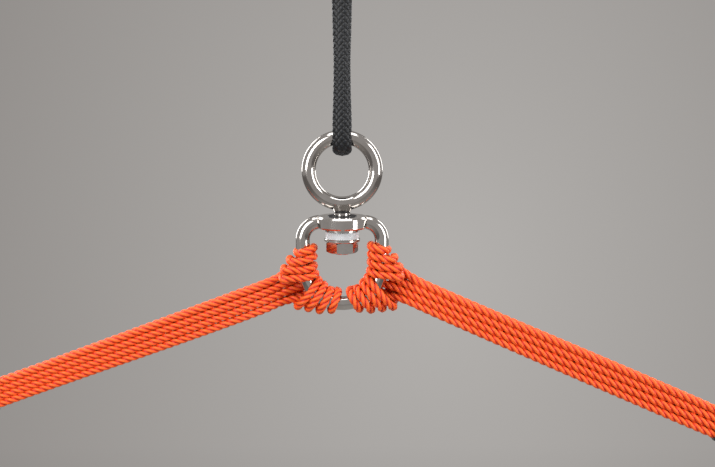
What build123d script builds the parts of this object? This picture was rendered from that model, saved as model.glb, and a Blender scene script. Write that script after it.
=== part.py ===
from build123d import *

import math
import os

import numpy as np

# Swivel rope hanger: a ring eye turns in a bow on a thrust bearing. A doubled braided rope
# carries the ring, and two cord slings are cow-hitched to the bow and pulled to both sides.
# The ring and the bow lie in the XZ plane. The origin is the middle of the
# thimble's bore in the rope's top eye.

# Hanging rope
STRAND_WIDTH = 10.6          # flattened braid, along X
STRAND_DEPTH = 6.4           # and across
ROPE_DROP = 150.0            # thimble's centre down to the ring's centre
ROPE_RING_CLEARANCE = 0.3
STRAND_GAP = 0.6             # between the two strands inside the sleeve
STRAND_BEND = 7.04           # from the sleeve's mouth to where a strand bends away
STRAND_SPREAD = 22.5         # from the ring's bar up to where the strands start to close
ROPE_ENDS_GAP = 0.5          # between the rope's two ends, butted in the sleeve
SLEEVE_LENGTH = 17.0
SLEEVE_WALL = 1.8
SLEEVE_CORNER = 2.0
SLEEVE_CLEARANCE = 0.15
SLEEVE_BELOW_EYE = 14.0      # sleeve's top edge below the thimble's centre
THIMBLE_INNER_RADIUS = 8.0
THIMBLE_WALL = 2.0
THIMBLE_LIP = 1.6
THIMBLE_WIDTH = 14.0
LIP_THICKNESS = 1.2
EYE_CLEARANCE = 0.15
EYE_STRAIGHT = 4.0           # straight run of each strand below the thimble's widest place

# Ring eye
RING_BAR = 8.0
RING_INNER = 30.0
NECK_DIAMETER = 9.0
NECK_FLARE = 13.0            # where the neck meets the ring's bar
NECK_FLARE_HEIGHT = 5.2      # from the ring's underside centreline down to the plain neck
NECK_STEP = 0.5              # taper from the neck up to the stem
STEM_DIAMETER = 10.0
STEM_CHAMFER = 0.8
STEM_PROUD = 0.8

# Bow
BOW_BAR = 8.0
BOW_INNER_WIDTH = 36.9
BOW_CORNER_RADIUS = 10.0     # of the bar's centreline
BOW_HEIGHT = 46.8            # centreline of the top bar to centreline of the bottom
BOSS_DIAMETER = 28.8
BOSS_HEIGHT = 6.8
BOSS_EDGE = 0.9              # chamfer round the boss's rims
BOSS_BELOW_RING = 26.2       # boss's top face below the ring's centre
BUSH_WALL = 1.2
SEAL_RECESS_DEPTH = 1.0
SEAL_DIAMETER = 16.4
SEAL_THICKNESS = 1.3

# Thrust bearing and the parts that clamp it
BEARING_DIAMETER = 19.4
RACE_THICKNESS = 1.75
LOWER_RACE_DIAMETER = 17.0
ROLLER_DIAMETER = 2.2
ROLLER_LENGTH = 2.2
ROLLER_COUNT = 8
ROLLER_CIRCLE = 13.6
CAGE_THICKNESS = 1.2
CAGE_INNER = 10.5
CAGE_OUTER = 16.6
SHROUD_DIAMETER = 18.8
SHROUD_GAP = 0.15
WASHER_DIAMETER = 20.4
WASHER_THICKNESS = 1.8
WASHER_EDGE = 0.3
NUT_ACROSS_FLATS = 16.0
NUT_HEIGHT = 6.5
NUT_TURN = 11.4              # how the flats stand at rest
NUT_FACE_INSET = 0.3         # radius of the flat faces inside the flats
NUT_CHAMFER_ANGLE = 30.0

# Slings
CORD = 3.6                   # laid cord, pressed round under its load
CORD_GAP = 0.62              # least space between neighbouring turns
HITCH_ANGLE = {"left": 207.0, "right": 200.0}   # hitch's middle on the bow's arc, left as drawn
SLING_FALL = {"left": 20.0, "right": 23.5}      # how far the bundle falls below level
SLING_LENGTH = {"left": 193.0, "right": 214.0}  # hitch's middle to the keeper sleeve
LOOPS = 4
CORD_SIDES = 4
CROSSING_GAP = 1.0           # behind the two layers of legs
FIRST_BEND = 50.0            # from the hitch's middle out to where the legs start to part
SECOND_BEND = 14.0           # and to where they lie behind the bow
LAST_BEND = 0.5
INNER_SPACING = 1.05         # turns on the bar's inner side, in pitches
STRAIGHT_SPACING = 1.1
PASS_SPACING = 1.16
MIDDLE_SPREAD = {1: 1.1, -1: 1.3}   # of the legs behind the bow, upper and lower half
TURN_GAP = 0.1               # from the bar to the innermost turn
PAST_KEEPER = 1.0            # legs run straight this far out of the keeper
BEND_TO_BAR = 9.0            # where they have parted for the end bar
BEFORE_BAR = 5.0
IN_KEEPER = 4.0              # how deep the cord's two ends lie in the keeper
GENTLE_REACH = 4.0           # how far from its corner a slight bend starts
SHARP_TURN = 28.0            # degrees
END_BAR_SIDES = 10
KEEPER_LENGTH = 14.0
KEEPER_WALL = 1.6
KEEPER_CORNER = 1.5
KEEPER_TO_BAR = 24.0
END_BAR = 6.0
END_HALF_WIDTH = 11.5
END_CORNER = 4.5
END_SIDE = 7.0
CORD_SEAT = 0.15
GAP_STEP = 1.0               # between the points that the least gap is measured on
OWN_TURN = 12.0              # along the cord, nearer than this is the same turn


RUNNING = 0.05               # radial clearance of a running fit
SEATED = 0.02                # clearance of pieces that turn together

# Heights, from the ring's centre down
RING_Z = -ROPE_DROP
RING_RADIUS = RING_INNER / 2 + RING_BAR / 2
BOSS_TOP = RING_Z - BOSS_BELOW_RING
BOSS_BOTTOM = BOSS_TOP - BOSS_HEIGHT
BOW_TOP = (BOSS_TOP + BOSS_BOTTOM) / 2
BOW_HALF_WIDTH = BOW_INNER_WIDTH / 2 + BOW_BAR / 2
BOW_ARC_Z = BOW_TOP - BOW_HEIGHT + BOW_HALF_WIDTH
RACE_GAP = ROLLER_DIAMETER + 2 * RUNNING
UPPER_RACE_BOTTOM = BOSS_BOTTOM - RACE_THICKNESS
LOWER_RACE_TOP = UPPER_RACE_BOTTOM - RACE_GAP
BEARING_BOTTOM = LOWER_RACE_TOP - RACE_THICKNESS
ROLLER_Z = (UPPER_RACE_BOTTOM + LOWER_RACE_TOP) / 2
WASHER_BOTTOM = BEARING_BOTTOM - WASHER_THICKNESS
NUT_BOTTOM = WASHER_BOTTOM - NUT_HEIGHT
STEM_BOTTOM = NUT_BOTTOM - STEM_PROUD
BUSH_BORE = STEM_DIAMETER + 2 * RUNNING
BUSH_OUTER = BUSH_BORE + 2 * BUSH_WALL
CLAMP_BORE = STEM_DIAMETER + 2 * SEATED

os.makedirs("parts", exist_ok=True)


def save(piece, label):
    """Names a finished piece and writes its STEP file."""
    piece.label = label
    export_step(piece, f"parts/{label}.step")


# Ring eye: a round bar bent to a ring, welded to a neck that runs down as the stem.
ring_bottom = RING_Z - RING_RADIUS
with BuildPart() as ring_eye:
    with BuildSketch(Plane.XY.offset(RING_Z)):
        with Locations((RING_RADIUS, 0)):
            Circle(RING_BAR / 2)
    revolve(axis=Axis((0, 0, RING_Z), (0, 1, 0)))
    with BuildSketch(Plane.XZ):
        with BuildLine():
            Polyline(
                (0, ring_bottom),
                (NECK_FLARE / 2, ring_bottom),
                (NECK_DIAMETER / 2, ring_bottom - NECK_FLARE_HEIGHT),
                (NECK_DIAMETER / 2, BOSS_TOP),
                (STEM_DIAMETER / 2, BOSS_TOP - NECK_STEP),
                (STEM_DIAMETER / 2, STEM_BOTTOM + STEM_CHAMFER),
                (STEM_DIAMETER / 2 - STEM_CHAMFER, STEM_BOTTOM),
                (0, STEM_BOTTOM),
                close=True,
            )
        make_face()
    revolve(axis=Axis.Z)
save(ring_eye.part, "ring_eye")


def bent_bar(plane, half_width, corner, side, bar, sides=0):
    """A round bar bent to a loop: flat on top, two corners, two sides and a half round end.

    The plane's origin is the middle of the top bar and its Y axis points from the half round
    end to the top bar. Its section is round, or a polygon of the given number of sides.
    """
    arc_y = -corner - side

    def at(x, y):
        return plane.from_local_coords(Vector(x, y, 0))

    with BuildPart() as loop:
        with BuildLine() as line:
            Line(at(0, 0), at(corner - half_width, 0))
            TangentArc(
                at(corner - half_width, 0), at(-half_width, -corner), tangent=-plane.x_dir
            )
            Line(at(-half_width, -corner), at(-half_width, arc_y))
            TangentArc(at(-half_width, arc_y), at(half_width, arc_y), tangent=-plane.y_dir)
            Line(at(half_width, arc_y), at(half_width, -corner))
            TangentArc(at(half_width, -corner), at(half_width - corner, 0), tangent=plane.y_dir)
            Line(at(half_width - corner, 0), at(0, 0))
        with BuildSketch(Plane(origin=plane.origin, x_dir=plane.y_dir, z_dir=plane.x_dir)):
            if sides:
                RegularPolygon(bar / 2, sides)
            else:
                Circle(bar / 2)
        sweep(path=line.wire())
    return loop


# Bow: a round bar bent to a loop, its top bar running through the bearing boss.
with BuildPart() as swivel_bow:
    add(
        bent_bar(
            Plane(origin=(0, 0, BOW_TOP), x_dir=(1, 0, 0), z_dir=(0, -1, 0)),
            BOW_HALF_WIDTH,
            BOW_CORNER_RADIUS,
            BOW_TOP - BOW_CORNER_RADIUS - BOW_ARC_Z,
            BOW_BAR,
        ).part
    )
    # The bar stops inside the boss's rim, so nothing of it stands over the flat faces.
    with BuildSketch(Plane.XY.offset(BOW_TOP - BOW_BAR)):
        Circle(BOSS_DIAMETER / 2 - BOSS_EDGE)
    extrude(amount=2 * BOW_BAR, mode=Mode.SUBTRACT)
    with BuildSketch(Plane.XZ):
        with BuildLine():
            Polyline(
                (0, BOSS_BOTTOM),
                (BOSS_DIAMETER / 2, BOSS_BOTTOM),
                (BOSS_DIAMETER / 2, BOSS_TOP),
                (0, BOSS_TOP),
                close=True,
            )
        boss_face = make_face()
        chamfer(boss_face.vertices().group_by(Axis.X)[-1], BOSS_EDGE)
    revolve(axis=Axis.Z)
    with BuildSketch(Plane.XY.offset(BOSS_BOTTOM)):
        Circle(BUSH_OUTER / 2)
    extrude(amount=BOSS_HEIGHT, mode=Mode.SUBTRACT)
    with BuildSketch(Plane.XY.offset(BOSS_TOP - SEAL_RECESS_DEPTH)):
        Circle(SEAL_DIAMETER / 2 + SEATED)
    extrude(amount=SEAL_RECESS_DEPTH, mode=Mode.SUBTRACT)
save(swivel_bow.part, "swivel_bow")


def ring_piece(outer, inner, bottom, height):
    """A plain ring about the swivel's axis, standing on the given height."""
    with BuildPart() as ring:
        with BuildSketch(Plane.XY.offset(bottom)):
            Circle(outer / 2)
            Circle(inner / 2, mode=Mode.SUBTRACT)
        extrude(amount=height)
    return ring


# Bush and seal, both in the boss
bush_top = BOSS_TOP - SEAL_RECESS_DEPTH
liner_bush = ring_piece(BUSH_OUTER - 2 * SEATED, BUSH_BORE, BOSS_BOTTOM, bush_top - BOSS_BOTTOM)
save(liner_bush.part, "liner_bush")
dust_seal = ring_piece(SEAL_DIAMETER, BUSH_BORE, bush_top, SEAL_THICKNESS)
save(dust_seal.part, "dust_seal")


# Thrust bearing: the upper race sits under the boss, the lower one turns with the stem.
upper_race = ring_piece(
    BEARING_DIAMETER, BUSH_BORE + 2 * RUNNING, UPPER_RACE_BOTTOM, RACE_THICKNESS
)
save(upper_race.part, "upper_race")
lower_race = ring_piece(LOWER_RACE_DIAMETER, CLAMP_BORE, BEARING_BOTTOM, RACE_THICKNESS)
save(lower_race.part, "lower_race")

# The rollers lie along the radii, each in a window of the cage.
with BuildPart() as bearing_rollers:
    with Locations((0, 0, ROLLER_Z)):
        with PolarLocations(ROLLER_CIRCLE / 2, ROLLER_COUNT):
            Cylinder(ROLLER_DIAMETER / 2, ROLLER_LENGTH, rotation=(0, 90, 0))
save(bearing_rollers.part, "bearing_rollers")

with BuildPart() as roller_cage:
    with BuildSketch(Plane.XY.offset(ROLLER_Z - CAGE_THICKNESS / 2)):
        Circle(CAGE_OUTER / 2)
        Circle(CAGE_INNER / 2, mode=Mode.SUBTRACT)
        with PolarLocations(ROLLER_CIRCLE / 2, ROLLER_COUNT):
            Rectangle(
                ROLLER_LENGTH + 2 * RUNNING, ROLLER_DIAMETER + 2 * RUNNING, mode=Mode.SUBTRACT
            )
    extrude(amount=CAGE_THICKNESS)
save(roller_cage.part, "roller_cage")

bearing_shroud = ring_piece(
    SHROUD_DIAMETER,
    LOWER_RACE_DIAMETER + 2 * SEATED,
    BEARING_BOTTOM,
    UPPER_RACE_BOTTOM - SHROUD_GAP - BEARING_BOTTOM,
)
save(bearing_shroud.part, "bearing_shroud")

# Washer and nut that hold the stem
with BuildPart() as flat_washer:
    with BuildSketch(Plane.XY.offset(WASHER_BOTTOM)):
        Circle(WASHER_DIAMETER / 2)
        Circle(CLAMP_BORE / 2, mode=Mode.SUBTRACT)
    extrude(amount=WASHER_THICKNESS)
    outer_rims = flat_washer.edges().filter_by(
        lambda e: e.geom_type == GeomType.CIRCLE and e.radius > CLAMP_BORE / 2 + WASHER_EDGE
    )
    chamfer(outer_rims, WASHER_EDGE)
save(flat_washer.part, "flat_washer")

nut_corner = NUT_ACROSS_FLATS / math.sqrt(3)
with BuildPart() as hex_nut:
    with BuildSketch(Plane.XY.offset(NUT_BOTTOM)):
        RegularPolygon(nut_corner, 6, rotation=NUT_TURN)
    extrude(amount=NUT_HEIGHT)
    # Both faces are turned back at 30 degrees, which scallops the tops of the flats.
    face_radius = NUT_ACROSS_FLATS / 2 - NUT_FACE_INSET
    reach = 2 * (nut_corner - face_radius)
    drop = reach * math.tan(math.radians(NUT_CHAMFER_ANGLE))
    with BuildSketch(Plane.XZ):
        with BuildLine():
            Polyline(
                (0, NUT_BOTTOM),
                (face_radius, NUT_BOTTOM),
                (face_radius + reach, NUT_BOTTOM + drop),
                (face_radius + reach, WASHER_BOTTOM - drop),
                (face_radius, WASHER_BOTTOM),
                (0, WASHER_BOTTOM),
                close=True,
            )
        make_face()
    revolve(axis=Axis.Z, mode=Mode.INTERSECT)
    with BuildSketch(Plane.XY.offset(NUT_BOTTOM)):
        Circle(CLAMP_BORE / 2)
    extrude(amount=NUT_HEIGHT, mode=Mode.SUBTRACT)
save(hex_nut.part, "hex_nut")


def corner_radii(points, sharp_reach, gentle_reach, share=0.49):
    """The arc radius at each corner of a route.

    An arc starts at most share of the shorter run from its corner, and no further from it than
    the reach for a sharp or a gentle turn.
    """
    radii = []
    for before, corner, after in zip(points, points[1:], points[2:]):
        run_in = Vector(*corner) - Vector(*before)
        run_out = Vector(*after) - Vector(*corner)
        turn = run_in.get_angle(run_out)
        reach = sharp_reach if turn > SHARP_TURN else gentle_reach
        reach = min(reach, share * min(run_in.length, run_out.length))
        radii.append(reach / math.tan(math.radians(turn) / 2))
    return radii


# Hanging rope: one braid, up from inside the sleeve round the thimble, down behind, under the
# ring's top bar and up in front, back into the sleeve.
EYE_RADIUS = THIMBLE_INNER_RADIUS + THIMBLE_WALL + EYE_CLEARANCE + STRAND_DEPTH / 2
BIGHT_RADIUS = RING_BAR / 2 + ROPE_RING_CLEARANCE + STRAND_DEPTH / 2
TUBE_TOP_Z = RING_Z + RING_RADIUS
SLEEVE_TOP = -EYE_RADIUS - SLEEVE_BELOW_EYE
SLEEVE_BOTTOM = SLEEVE_TOP - SLEEVE_LENGTH
strand_y = (STRAND_DEPTH + STRAND_GAP) / 2
join_z = (SLEEVE_TOP + SLEEVE_BOTTOM) / 2


def rope_radii(points):
    """Corner radii of the rope's bends, which all lie outside the sleeve."""
    return corner_radii([(0, y, z) for y, z in points], STRAND_DEPTH, STRAND_DEPTH)


def rope_side(side):
    """The bend that takes one strand from the sleeve to the bight, in Y and Z."""
    lower = TUBE_TOP_Z + STRAND_SPREAD
    return (side * strand_y, SLEEVE_BOTTOM - STRAND_BEND), (side * BIGHT_RADIUS, lower)


with BuildPart() as black_rope:
    with BuildLine(Plane.YZ) as rope_line:
        back_high, back_low = rope_side(1)
        front_high, front_low = rope_side(-1)
        eye_foot = SLEEVE_TOP + STRAND_BEND
        points = [
            (-strand_y, join_z + ROPE_ENDS_GAP),
            (-strand_y, eye_foot),
            (-EYE_RADIUS, -EYE_STRAIGHT),
            (-EYE_RADIUS, 0),
        ]
        FilletPolyline(points, radius=rope_radii(points))
        ThreePointArc(
            (-EYE_RADIUS, 0), (0, EYE_RADIUS), (EYE_RADIUS, 0)
        )
        points = [
            (EYE_RADIUS, 0),
            (EYE_RADIUS, -EYE_STRAIGHT),
            (strand_y, eye_foot),
            back_high,
            back_low,
            (BIGHT_RADIUS, TUBE_TOP_Z),
        ]
        FilletPolyline(points, radius=rope_radii(points))
        ThreePointArc(
            (BIGHT_RADIUS, TUBE_TOP_Z), (0, TUBE_TOP_Z - BIGHT_RADIUS), (-BIGHT_RADIUS, TUBE_TOP_Z)
        )
        points = [(-BIGHT_RADIUS, TUBE_TOP_Z), front_low, front_high, (-strand_y, join_z)]
        FilletPolyline(points, radius=rope_radii(points))
    start_plane = Plane(
        origin=(0, -strand_y, join_z + ROPE_ENDS_GAP), x_dir=(1, 0, 0), z_dir=(0, 0, 1)
    )
    with BuildSketch(start_plane):
        Ellipse(STRAND_WIDTH / 2, STRAND_DEPTH / 2)
    sweep(path=rope_line.wire())
print(
    f"black rope: radii {STRAND_WIDTH / 2} and {STRAND_DEPTH / 2} mm,",
    f"{rope_line.wire().length:.1f} mm long, bight radius {BIGHT_RADIUS} mm",
)
save(black_rope.part, "black_rope")


# Thimble in the rope's top eye, and the sleeve that grips both strands
with BuildPart() as rope_thimble:
    with BuildSketch(Plane.YZ.offset(-THIMBLE_WIDTH / 2)):
        Circle(THIMBLE_INNER_RADIUS + THIMBLE_WALL)
        Circle(THIMBLE_INNER_RADIUS, mode=Mode.SUBTRACT)
    extrude(amount=THIMBLE_WIDTH)
    for edge in (-THIMBLE_WIDTH / 2, THIMBLE_WIDTH / 2 - LIP_THICKNESS):
        with BuildSketch(Plane.YZ.offset(edge)):
            Circle(THIMBLE_INNER_RADIUS + THIMBLE_WALL + THIMBLE_LIP)
            Circle(THIMBLE_INNER_RADIUS, mode=Mode.SUBTRACT)
        extrude(amount=LIP_THICKNESS)
save(rope_thimble.part, "rope_thimble")

with BuildPart() as rope_sleeve:
    with BuildSketch(Plane.XY.offset(SLEEVE_BOTTOM)):
        hole_width = STRAND_WIDTH + 2 * SLEEVE_CLEARANCE
        hole_depth = 2 * strand_y + STRAND_DEPTH + 2 * SLEEVE_CLEARANCE
        RectangleRounded(
            hole_width + 2 * SLEEVE_WALL, hole_depth + 2 * SLEEVE_WALL, SLEEVE_CORNER + SLEEVE_WALL
        )
        RectangleRounded(hole_width, hole_depth, SLEEVE_CORNER, mode=Mode.SUBTRACT)
    extrude(amount=SLEEVE_LENGTH)
save(rope_sleeve.part, "rope_sleeve")


PITCH = CORD + CORD_GAP
WRAP = BOW_BAR / 2 + CORD_SEAT + CORD / 2
DEEP = WRAP + PITCH           # second layer behind the bow
CROSSING = DEEP + PITCH + CROSSING_GAP       # the strands that cross behind both layers
INNER_STEP = INNER_SPACING * PITCH * BOW_HALF_WIDTH / (BOW_HALF_WIDTH - WRAP)
UP, DOWN = 1, -1
# From the outermost loop's turn outside the bow to the turns of the loops inside it: outward
# along the bundle, and towards its middle.
FAN = {UP: [(15.4, 4.9), (9.4, 3.5), (4.5, 2.0), (0, 0)],
       DOWN: [(17.0, 8.2), (11.6, 5.4), (6.0, 2.7), (0, 0)]}
TURN_LEAN = {UP: 2.6, DOWN: 0.6}
# Where each leg goes on its way to the end bar, in pitches: place along the bar, place in front
# before it, and height before it.
END_SEATS = {
    (0, UP): (1.04, 1.05, 0.68), (2, UP): (0, 0.25, 1.5), (1, UP): (-1.04, -0.85, 0.75),
    (2, DOWN): (1.04, 0.85, 1.45), (1, DOWN): (0, -0.3, 0.6), (3, DOWN): (-1.04, -1.05, 1.5),
}


def hitch_frame(side):
    """Origin, outward and upward directions of a hitch, in X and Z, as on the left."""
    angle, fall = math.radians(HITCH_ANGLE[side]), math.radians(SLING_FALL[side])
    origin = (BOW_HALF_WIDTH * math.cos(angle), BOW_ARC_Z + BOW_HALF_WIDTH * math.sin(angle))
    return origin, (-math.cos(fall), -math.sin(fall)), (-math.sin(fall), math.cos(fall))


def on_bow(side, along, out):
    """A point beside the bow's bar, in X and Z: along it from the hitch's middle, and outward."""
    above_arc = along - math.radians(HITCH_ANGLE[side] - 180) * BOW_HALF_WIDTH
    if above_arc > 0:
        return -BOW_HALF_WIDTH - out, BOW_ARC_Z + above_arc
    angle = math.radians(HITCH_ANGLE[side]) - along / BOW_HALF_WIDTH
    radius = BOW_HALF_WIDTH + out
    return radius * math.cos(angle), BOW_ARC_Z + radius * math.sin(angle)


def beside(side, out, up, front):
    """A point of the bundle's own frame, as X, Y and Z on the left."""
    (x, z), direction, across = hitch_frame(side)
    return (x + out * direction[0] + up * across[0], -front, z + out * direction[1] + up * across[1])


def wrap_place(side, loop, way):
    """How far along the bow a loop's turn lies: wider apart where the bar's inner side curves."""
    arc = math.radians(HITCH_ANGLE[side] - 180) * BOW_HALF_WIDTH
    place = INNER_STEP / 2
    for _ in range(loop):
        place += INNER_STEP if way == DOWN or place < arc else STRAIGHT_SPACING * PITCH
    return way * place


def turn_place(side, loop, way):
    """Where a loop turns from front to back outside the bow, in the bundle's frame."""
    last = wrap_place(side, LOOPS - 1, way) - way * TURN_LEAN[way]
    out, up = in_bundle(side, *on_bow(side, last, WRAP + TURN_GAP))
    further, nearer = FAN[way][loop]
    return out + further, up - way * nearer


def in_bundle(side, x, z):
    """Outward and upward distance of a point from a hitch's middle."""
    (from_x, from_z), direction, across = hitch_frame(side)
    x, z = x - from_x, z - from_z
    return x * direction[0] + z * direction[1], x * across[0] + z * across[1]


def hitch_half(side, loop, way):
    """From the bundle in to the bow, round its inner side, out in front and round to the back."""
    row = way * (0.5 if loop < 2 else 1.5) * PITCH
    behind = WRAP if loop % 2 == 0 else DEEP
    column = PITCH / 2 if loop % 2 == 0 else -PITCH / 2
    x, z = on_bow(side, wrap_place(side, loop, way), -WRAP)
    inner_out, inner_up = in_bundle(side, x, z)
    turn_out, turn_up = turn_place(side, loop, way)
    middle_up = MIDDLE_SPREAD[way] * inner_up if loop % 2 == 0 else (inner_up + row) / 2
    points = [
        beside(side, FIRST_BEND, row, column),
        beside(side, SECOND_BEND, row, -behind),
        beside(side, LAST_BEND, middle_up, -behind),
        (x, behind, z),
        (x, -WRAP, z),
    ]
    # In front, each strand passes inside the turns of the loops beyond it.
    if way == UP:
        for beyond in range(LOOPS - 1, loop, -1):
            pass_out, pass_up = turn_place(side, beyond, way)
            below = (beyond - loop) * PASS_SPACING * PITCH
            points.append(beside(side, pass_out, pass_up - below, WRAP))
    points.append(beside(side, turn_out, turn_up, WRAP))
    points.append(beside(side, turn_out, turn_up, -CROSSING))
    return points


def end_leg(side, loop, way):
    """From the bundle out to the end bar: the last corner before the turn round it."""
    start = SLING_LENGTH[side] + KEEPER_LENGTH
    row = way * (0.5 if loop < 2 else 1.5) * PITCH
    column = PITCH / 2 if loop % 2 == 0 else -PITCH / 2
    bar = start + KEEPER_TO_BAR
    radius = END_BAR / 2 + CORD_SEAT + CORD / 2
    at_bar, before, rise = (PITCH * share for share in END_SEATS[(loop, way)])
    return [
        beside(side, start + PAST_KEEPER, row, column),
        beside(side, start + BEND_TO_BAR, way * rise, before),
        beside(side, bar - BEFORE_BAR, way * radius, at_bar),
        beside(side, bar + radius, way * radius, at_bar),
    ]


def sling_points(side):
    """The whole cord of one sling: four hitched loops, joined round the end bar."""
    order = [(0, DOWN), (0, UP), (2, DOWN), (2, UP), (1, DOWN), (1, UP), (3, DOWN), (3, UP)]
    points = [beside(side, SLING_LENGTH[side] + IN_KEEPER, -0.5 * PITCH, PITCH / 2)]
    for first, second in zip(order[::2], order[1::2]):
        if first != order[0]:
            points += end_leg(side, *first)[::-1]
        points += hitch_half(side, *first)
        points += hitch_half(side, *second)[::-1]
        if second != order[-1]:
            points += end_leg(side, *second)
    points.append(beside(side, SLING_LENGTH[side] + IN_KEEPER, 1.5 * PITCH, -PITCH / 2))
    return points


def mirrored(side, point):
    """A point worked out on the left, put on its own side."""
    x, y, z = point
    return (x, y, z) if side == "left" else (-x, y, z)


def least_gap(wire):
    """Least free space between a cord's surface and itself, measured between points along it."""
    count = round(wire.length / GAP_STEP)
    places = np.array([tuple(p) for p in wire.positions([i / count for i in range(count + 1)])])
    near = math.ceil(OWN_TURN / GAP_STEP)
    least = math.inf
    for index in range(len(places) - near):
        apart = np.linalg.norm(places[index + near:] - places[index], axis=1)
        least = min(least, float(apart.min()))
    return least - CORD


for side in ("left", "right"):
    points = [mirrored(side, p) for p in sling_points(side)]
    with BuildPart() as sling:
        with BuildLine() as cord_line:
            FilletPolyline(points, radius=corner_radii(points, WRAP, GENTLE_REACH))
        cord_wire = cord_line.wire()
        start = Vector(*points[0])
        with BuildSketch(Plane(origin=start, z_dir=Vector(*points[1]) - start)):
            RegularPolygon(CORD / 2, CORD_SIDES)
        sweep(path=cord_wire)
    print(
        f"{side} sling: cord radius {CORD / 2} mm, {cord_wire.length:.1f} mm long,",
        f"least gap to itself {least_gap(cord_wire):.3f} mm",
    )
    save(sling.part, f"{side}_sling")

    # Keeper sleeve round the eight legs, and the end ring that the loops hang on
    keeper_start = SLING_LENGTH[side]
    origin = Vector(*mirrored(side, beside(side, keeper_start, 0, 0)))
    outward = Vector(*mirrored(side, beside(side, keeper_start + 1, 0, 0))) - origin
    with BuildPart() as keeper:
        with BuildSketch(Plane(origin=origin, x_dir=(0, 1, 0), z_dir=outward)):
            bundle_width = PITCH + CORD + 2 * SLEEVE_CLEARANCE
            bundle_height = 3 * PITCH + CORD + 2 * SLEEVE_CLEARANCE
            RectangleRounded(
                bundle_width + 2 * KEEPER_WALL, bundle_height + 2 * KEEPER_WALL, KEEPER_CORNER + KEEPER_WALL
            )
            RectangleRounded(bundle_width, bundle_height, KEEPER_CORNER, mode=Mode.SUBTRACT)
        extrude(amount=KEEPER_LENGTH)
    save(keeper.part, f"{side}_keeper")

    bar_middle = Vector(
        *mirrored(side, beside(side, keeper_start + KEEPER_LENGTH + KEEPER_TO_BAR, 0, 0))
    )
    end_plane = Plane(origin=bar_middle, x_dir=(0, 1, 0), z_dir=Vector(0, 1, 0).cross(-outward))
    end_ring = bent_bar(end_plane, END_HALF_WIDTH, END_CORNER, END_SIDE, END_BAR, END_BAR_SIDES)
    save(end_ring.part, f"{side}_end_ring")
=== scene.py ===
"""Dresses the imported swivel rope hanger: polished steel swivel, black braid and orange cord slings."""

import logging
import math
from dataclasses import dataclass, field
from enum import Enum
from typing import Sequence

import bpy
import numpy as np
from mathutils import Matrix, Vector


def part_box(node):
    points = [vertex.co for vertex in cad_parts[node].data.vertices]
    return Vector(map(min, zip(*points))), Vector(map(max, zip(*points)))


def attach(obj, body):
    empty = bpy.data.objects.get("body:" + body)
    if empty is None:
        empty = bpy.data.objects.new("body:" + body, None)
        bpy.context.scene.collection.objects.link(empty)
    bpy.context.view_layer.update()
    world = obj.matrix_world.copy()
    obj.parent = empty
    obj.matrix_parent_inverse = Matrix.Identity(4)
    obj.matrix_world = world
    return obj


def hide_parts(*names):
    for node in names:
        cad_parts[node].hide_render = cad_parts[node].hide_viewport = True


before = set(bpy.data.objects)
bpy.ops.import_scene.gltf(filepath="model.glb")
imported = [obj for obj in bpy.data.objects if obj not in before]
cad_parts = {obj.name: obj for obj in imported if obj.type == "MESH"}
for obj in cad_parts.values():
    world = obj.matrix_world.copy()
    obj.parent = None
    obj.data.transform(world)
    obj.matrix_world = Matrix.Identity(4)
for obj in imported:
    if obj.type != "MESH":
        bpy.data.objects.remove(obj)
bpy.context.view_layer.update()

MM = 0.001
BOW_BAR_RADIUS = 0.004
LOG = logging.getLogger("swivel_hanger")

Point = tuple[float, float, float]


# ---------------------------------------------------------------------------------------------
# Colours and nodes
# ---------------------------------------------------------------------------------------------

def linear(colour: str) -> tuple[float, float, float, float]:
    """Turns an sRGB hex colour into linear values.

    Args:
        colour: Six hex digits, with or without a leading hash.

    Returns:
        Red, green, blue and an alpha of 1, linear.
    """
    digits = colour.lstrip("#")
    channels = [int(digits[i:i + 2], 16) / 255 for i in (0, 2, 4)]
    red, green, blue = (c / 12.92 if c <= 0.04045 else ((c + 0.055) / 1.055) ** 2.4 for c in channels)
    return red, green, blue, 1.0


def add_node(
    tree: bpy.types.NodeTree,
    kind: str,
    links: dict[str | int, bpy.types.NodeSocket] | None = None,
    values: dict[str | int, object] | None = None,
    **settings: object,
) -> bpy.types.Node:
    """Adds a node with its settings, its input values and the sockets that feed it.

    Args:
        tree: The node tree.
        kind: The node's type name.
        links: Output sockets of other nodes, by the name or number of the input they feed.
        values: Plain values of inputs, by name or number.
        settings: Attributes of the node itself.

    Returns:
        The new node.
    """
    node = tree.nodes.new(kind)
    for name, value in settings.items():
        setattr(node, name, value)
    for name, value in (values or {}).items():
        node.inputs[name].default_value = value
    for name, socket in (links or {}).items():
        tree.links.new(socket, node.inputs[name])
    return node


def set_ramp(node: bpy.types.Node, stops: Sequence[tuple[float, str]]) -> bpy.types.Node:
    """Gives a colour ramp its stops.

    Args:
        node: The Color Ramp node.
        stops: Positions and sRGB hex colours.

    Returns:
        The same node.
    """
    elements = node.color_ramp.elements
    while len(elements) > 1:
        elements.remove(elements[-1])
    for index, (position, colour) in enumerate(stops):
        element = elements[0] if index == 0 else elements.new(position)
        element.position = position
        element.color = linear(colour)
    return node


# ---------------------------------------------------------------------------------------------
# Finishes
# ---------------------------------------------------------------------------------------------

class Polish(Enum):
    """How far a steel surface is worked, as the grit size in millimetres that its marks show."""

    ELECTROPOLISHED = 0.35
    GROUND = 0.22
    TURNED = 0.16


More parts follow.
